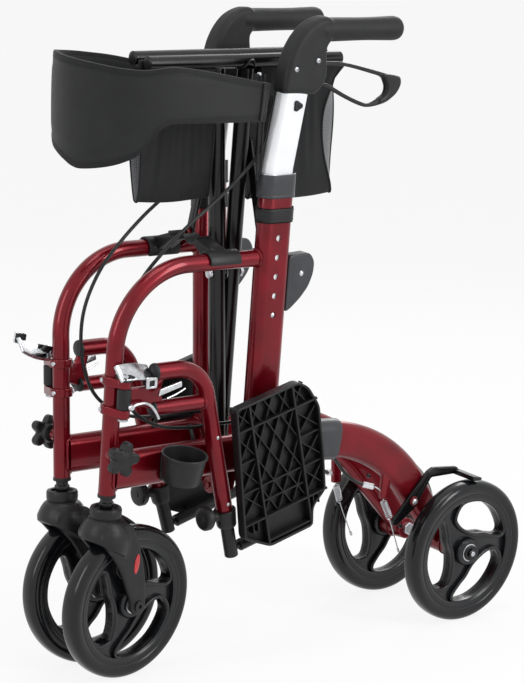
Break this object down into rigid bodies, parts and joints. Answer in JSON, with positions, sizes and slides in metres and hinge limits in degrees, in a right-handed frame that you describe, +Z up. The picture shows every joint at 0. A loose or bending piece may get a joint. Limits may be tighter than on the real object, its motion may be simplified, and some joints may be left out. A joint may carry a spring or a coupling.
{
  "type": "folding rollator with swing-away footrests",
  "caption": "Folding four-wheeled walking frame with hand brakes, a sling seat, a backrest strap and footrests that swing aside, stored folded.",
  "frame": {"origin": "middle of the bounding box at floor level", "axes": "+Z up, +Y to the rear, +X to the user's left"},
  "size_m": [0.2438, 0.7456, 0.8494],
  "materials": {
    "red_coat": "glossy deep candy red over metal",
    "black_coat": "satin black powder coat",
    "black_plastic": "moulded black nylon, lightly textured",
    "soft_grip": "soft black rubber",
    "tyre": "smooth grey-black polyurethane tread on a moulded wheel",
    "silver": "bright silver coat",
    "chrome": "bright plated steel",
    "grey_plastic": "moulded dark grey nylon",
    "cloth": "black woven nylon",
    "steel": "zinc plated steel"
  },
  "bodies": {
    "left_frame": {"side_frame_left": "red_coat", "rail_collar_left": "grey_plastic", "top_collar_left": "grey_plastic", "upright_band_left": "cloth", "quarter_bracket_left": "grey_plastic", "seat_saddle_left": "black_plastic", "hinge_bracket_left": "red_coat", "rear_axle_left": "steel", "return_spring_left": "steel", "brake_cable_left": "black_plastic", "cup_holder": "black_plastic", "backrest_strap": "cloth"},
    "right_frame": {"side_frame_right": "red_coat", "rail_collar_right": "grey_plastic", "top_collar_right": "grey_plastic", "upright_band_right": "cloth", "quarter_bracket_right": "grey_plastic", "seat_saddle_right": "black_plastic", "hinge_bracket_right": "red_coat", "rear_axle_right": "steel", "return_spring_right": "steel", "brake_cable_right": "black_plastic"},
    "cross_a": {"cross_tube_right": "black_coat", "seat_rail_right": "black_coat", "centre_pivot": "steel", "seat_cloth": "cloth"},
    "cross_b": {"cross_tube_left": "black_coat", "seat_rail_left": "black_coat"},
    "link_left": {"fold_link_left": "black_coat"},
    "handle_left": {"handle_tube_left": "silver", "grip_left": "soft_grip"},
    "lever_left": {"brake_lever_left": "black_plastic"},
    "brake_left": {"brake_arm_left": "black_coat"},
    "button_left": {"snap_button_left": "chrome"},
    "caster_left": {"caster_fork_left": "black_plastic", "front_axle_left": "steel"},
    "front_wheel_body_left": {"front_wheel_left": "tyre"},
    "rear_wheel_body_left": {"rear_wheel_left": "tyre"},
    "hanger_left": {"footrest_hanger_left": "red_coat"},
    "leg_left": {"leg_extension_left": "black_coat"},
    "plate_left": {"footplate_left": "black_plastic"},
    "latch_left": {"hanger_latch_left": "chrome"},
    "knob_left": {"star_knob_left": "black_plastic"},
    "link_right": {"fold_link_right": "black_coat"},
    "handle_right": {"handle_tube_right": "silver", "grip_right": "soft_grip"},
    "lever_right": {"brake_lever_right": "black_plastic"},
    "brake_right": {"brake_arm_right": "black_coat"},
    "button_right": {"snap_button_right": "chrome"},
    "caster_right": {"caster_fork_right": "black_plastic", "front_axle_right": "steel"},
    "front_wheel_body_right": {"front_wheel_right": "tyre"},
    "rear_wheel_body_right": {"rear_wheel_right": "tyre"},
    "hanger_right": {"footrest_hanger_right": "red_coat"},
    "leg_right": {"leg_extension_right": "black_coat"},
    "plate_right": {"footplate_right": "black_plastic"},
    "latch_right": {"hanger_latch_right": "chrome"},
    "knob_right": {"star_knob_right": "black_plastic"}
  },
  "joints": [
    {"name": "fold", "type": "slide", "parent": "left_frame", "child": "right_frame", "axis": [-1, 0, 0], "range_m": [0, 0.41449], "deforming": ["backrest_strap", "seat_cloth"]},
    {"name": "cross_a_lean", "type": "hinge", "parent": "left_frame", "child": "cross_a", "pos_m": [0.00625, -0.11301, 0.232], "axis": [0, -1, 0], "range_deg": [0, 49.61]},
    {"name": "cross_b_scissor", "type": "hinge", "parent": "cross_a", "child": "cross_b", "pos_m": [-0.00975, -0.08901, 0.51154], "axis": [0, 1, 0], "range_deg": [0, 99.22]},
    {"name": "link_swing_left", "type": "hinge", "parent": "left_frame", "child": "link_left", "pos_m": [0.03325, -0.07566, 0.56], "axis": [0, -1, 0], "range_deg": [0, 100.91]},
    {"name": "handle_height_left", "type": "slide", "parent": "left_frame", "child": "handle_left", "axis": [0.0532, 0, 0.9986], "range_m": [0, 0.1016], "deforming": ["brake_cable_left"]},
    {"name": "brake_squeeze_left", "type": "hinge", "parent": "handle_left", "child": "lever_left", "pos_m": [0.06815, 0.00599, 0.7769], "axis": [0.9986, 0, -0.0532], "range_deg": [0, 16], "stiffness_Nm_per_rad": 0.5, "springref_deg": -5.73},
    {"name": "brake_arm_turn_left", "type": "hinge", "parent": "left_frame", "child": "brake_left", "pos_m": [0.052, 0.19599, 0.17691], "axis": [-0.9986, 0, 0.0532], "range_deg": [0, 1.3]},
    {"name": "button_press_left", "type": "slide", "parent": "handle_left", "child": "button_left", "axis": [-0.9986, 0, 0.0532], "range_m": [0, 0.003], "stiffness_N_per_m": 800, "springref_m": -0.002},
    {"name": "caster_swivel_left", "type": "hinge", "parent": "left_frame", "child": "caster_left", "pos_m": [0.04005, -0.31601, 0.24965], "axis": [-0.0532, 0, -0.9986], "range_deg": [-3.2, 196.8]},
    {"name": "front_wheel_spin_left", "type": "hinge", "parent": "caster_left", "child": "front_wheel_body_left", "pos_m": [0.02694, -0.27232, 0.10146], "axis": [0.9916, 0.1184, -0.0528], "continuous": true},
    {"name": "rear_wheel_spin_left", "type": "hinge", "parent": "left_frame", "child": "rear_wheel_body_left", "pos_m": [0.07822, 0.27199, 0.10146], "axis": [0.9986, 0, -0.0532], "continuous": true},
    {"name": "hanger_swing_left", "type": "hinge", "parent": "left_frame", "child": "hanger_left", "pos_m": [0.07058, -0.31601, 0.36218], "axis": [-0.0532, 0, -0.9986], "range_deg": [0, 180]},
    {"name": "leg_length_left", "type": "slide", "parent": "hanger_left", "child": "leg_left", "axis": [-0.0514, 0.2571, -0.965], "range_m": [0, 0.05]},
    {"name": "footplate_flip_left", "type": "hinge", "parent": "leg_left", "child": "plate_left", "pos_m": [0.05965, -0.12893, 0.15705], "axis": [0.0137, 0.9664, 0.2568], "range_deg": [0, 90]},
    {"name": "latch_turn_left", "type": "hinge", "parent": "left_frame", "child": "latch_left", "pos_m": [0.07324, -0.32101, 0.41211], "axis": [0.9986, 0, -0.0532], "range_deg": [0, 165]},
    {"name": "knob_turn_left", "type": "hinge", "parent": "left_frame", "child": "knob_left", "pos_m": [0.06905, -0.31801, 0.30518], "axis": [0.9986, 0, -0.0532], "continuous": true},
    {"name": "link_swing_right", "type": "hinge", "parent": "right_frame", "child": "link_right", "pos_m": [-0.05275, -0.12636, 0.56], "axis": [0, 1, 0], "range_deg": [0, 100.91]},
    {"name": "handle_height_right", "type": "slide", "parent": "right_frame", "child": "handle_right", "axis": [-0.0532, 0, 0.9986], "range_m": [0, 0.1016], "deforming": ["brake_cable_right"]},
    {"name": "brake_squeeze_right", "type": "hinge", "parent": "handle_right", "child": "lever_right", "pos_m": [-0.08765, 0.00599, 0.7769], "axis": [0.9986, 0, 0.0532], "range_deg": [0, 16], "stiffness_Nm_per_rad": 0.5, "springref_deg": -5.73},
    {"name": "brake_arm_turn_right", "type": "hinge", "parent": "right_frame", "child": "brake_right", "pos_m": [-0.0715, 0.19599, 0.17691], "axis": [-0.9986, 0, -0.0532], "range_deg": [0, 1.3]},
    {"name": "button_press_right", "type": "slide", "parent": "handle_right", "child": "button_right", "axis": [0.9986, 0, 0.0532], "range_m": [0, 0.003], "stiffness_N_per_m": 800, "springref_m": -0.002},
    {"name": "caster_swivel_right", "type": "hinge", "parent": "right_frame", "child": "caster_right", "pos_m": [-0.05955, -0.31601, 0.24965], "axis": [-0.0532, 0, 0.9986], "range_deg": [-8.5, 191.5]},
    {"name": "front_wheel_spin_right", "type": "hinge", "parent": "caster_right", "child": "front_wheel_body_right", "pos_m": [-0.0505, -0.27203, 0.10146], "axis": [0.9982, -0.0262, 0.0532], "continuous": true},
    {"name": "rear_wheel_spin_right", "type": "hinge", "parent": "right_frame", "child": "rear_wheel_body_right", "pos_m": [-0.09772, 0.27199, 0.10146], "axis": [0.9986, 0, 0.0532], "continuous": true},
    {"name": "hanger_swing_right", "type": "hinge", "parent": "right_frame", "child": "hanger_right", "pos_m": [-0.09008, -0.31601, 0.36218], "axis": [-0.0532, 0, 0.9986], "range_deg": [0, 180]},
    {"name": "leg_length_right", "type": "slide", "parent": "hanger_right", "child": "leg_right", "axis": [0.0514, 0.2571, -0.965], "range_m": [0, 0.05]},
    {"name": "footplate_flip_right", "type": "hinge", "parent": "leg_right", "child": "plate_right", "pos_m": [-0.07915, -0.12893, 0.15705], "axis": [0.0137, -0.9664, -0.2568], "range_deg": [0, 90]},
    {"name": "latch_turn_right", "type": "hinge", "parent": "right_frame", "child": "latch_right", "pos_m": [-0.09274, -0.32101, 0.41211], "axis": [0.9986, 0, 0.0532], "range_deg": [-165, 0]},
    {"name": "knob_turn_right", "type": "hinge", "parent": "right_frame", "child": "knob_right", "pos_m": [-0.08855, -0.31801, 0.30518], "axis": [-0.9986, 0, -0.0532], "continuous": true}
  ],
  "couplings": [
    {"joint": "cross_a_lean", "follows": "fold", "rad_per_m": 2.0884},
    {"joint": "cross_b_scissor", "follows": "fold", "rad_per_m": 4.1769},
    {"joint": "link_swing_left", "follows": "fold", "rad_per_m": 4.2484},
    {"joint": "brake_arm_turn_left", "follows": "brake_squeeze_left", "ratio": 0.08},
    {"joint": "link_swing_right", "follows": "fold", "rad_per_m": 4.2484},
    {"joint": "brake_arm_turn_right", "follows": "brake_squeeze_right", "ratio": 0.08}
  ]
}
